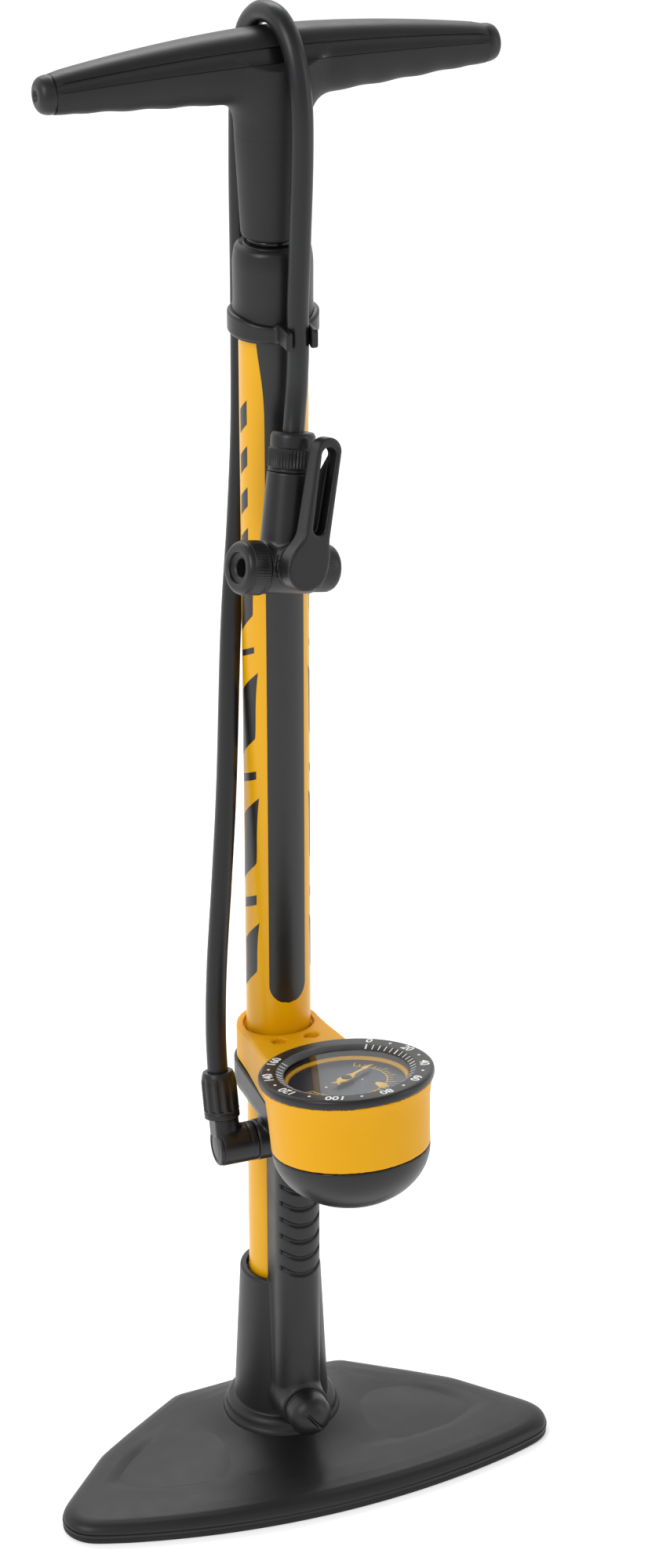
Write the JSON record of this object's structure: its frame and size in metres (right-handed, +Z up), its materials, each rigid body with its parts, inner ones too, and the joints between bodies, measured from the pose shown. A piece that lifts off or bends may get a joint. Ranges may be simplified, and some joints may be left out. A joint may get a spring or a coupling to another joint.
{
  "type": "bicycle floor pump",
  "caption": "Hand-worked floor pump with T handle, yellow barrel, wide foot plate, low dial gauge, and a hose looped over the handle to a twin-nozzle lever head.",
  "frame": {"origin": "barrel axis where it meets the floor", "axes": "+Z up the barrel, -Y toward the gauge front, X across the foot plate"},
  "size_m": [0.2488, 0.1611, 0.7161],
  "materials": {
    "black_plastic": "satin",
    "soft_plastic": "matte",
    "yellow_enamel": "gloss",
    "yellow_plastic": "satin",
    "rod_steel": "polished",
    "screw_steel": "satin",
    "brass": "satin",
    "rubber": "matte",
    "hose_rubber": "satin",
    "dial_plate": "satin",
    "clear": "polished"
  },
  "bodies": {
    "frame": {"base_plate": "black_plastic", "base_pad": "rubber", "base_screws": "screw_steel", "foot_housing": "black_plastic", "barrel": "yellow_enamel", "lower_plug": "black_plastic", "plug_o_ring": "rubber", "valve_cap": "black_plastic", "valve_cap_ring": "rubber", "valve_spring": "screw_steel", "housing_lower": "black_plastic", "housing_upper": "yellow_plastic", "bracket_screws": "screw_steel", "bezel": "black_plastic", "lens": "clear", "dial_ring": "yellow_plastic", "dial": "dial_plate", "movement_frame": "brass", "bourdon_tube": "brass", "swivel_elbow": "black_plastic", "elbow_cap": "black_plastic", "hose_nut": "black_plastic", "hose": "hose_rubber", "top_cap": "black_plastic", "hose_clip": "black_plastic", "rod_bush": "soft_plastic", "rod_bumper": "rubber", "head_collar": "black_plastic", "head_body": "black_plastic", "nozzle_cap_left": "black_plastic", "nozzle_cap_right": "black_plastic", "nozzle_seal_left": "rubber", "nozzle_seal_right": "rubber", "lever_pin": "screw_steel"},
    "plunger": {"piston_rod": "rod_steel", "piston": "soft_plastic", "piston_ring": "rubber", "piston_bolt": "screw_steel", "handle_core": "black_plastic", "handle_grip_left": "soft_plastic", "handle_grip_right": "soft_plastic", "handle_cap_left": "black_plastic", "handle_cap_right": "black_plastic", "handle_bolt": "screw_steel"},
    "lever": {"lever": "black_plastic"},
    "needle": {"needle": "brass"},
    "sector": {"sector_gear": "brass"},
    "valve": {"valve_ball": "screw_steel"}
  },
  "joints": [
    {"name": "handle_slide", "type": "slide", "parent": "frame", "child": "plunger", "axis": [0, 0, 1], "range_m": [0, 0.48], "deforming": ["hose"]},
    {"name": "lever_pivot", "type": "hinge", "parent": "frame", "child": "lever", "pos_m": [-0.00966, -0.0561, 0.48742], "axis": [0.2288, -0.9525, 0.2011], "range_deg": [-90, 90]},
    {"name": "sector_turn", "type": "hinge", "parent": "frame", "child": "sector", "pos_m": [-0.0165, -0.08743, 0.24021], "axis": [0, 0.1736, 0.9848], "range_deg": [-4, 51]},
    {"name": "needle_turn", "type": "hinge", "parent": "frame", "child": "needle", "pos_m": [0.0015, -0.08569, 0.25006], "axis": [0, -0.1736, -0.9848], "range_deg": [-20, 255]},
    {"name": "check_valve_lift", "type": "slide", "parent": "frame", "child": "valve", "axis": [0, -1, 0], "range_m": [0, 0.0025], "stiffness_N_per_m": 200, "springref_m": -0.001, "deforming": ["valve_spring"]}
  ],
  "couplings": [
    {"joint": "needle_turn", "follows": "sector_turn", "ratio": 5}
  ]
}
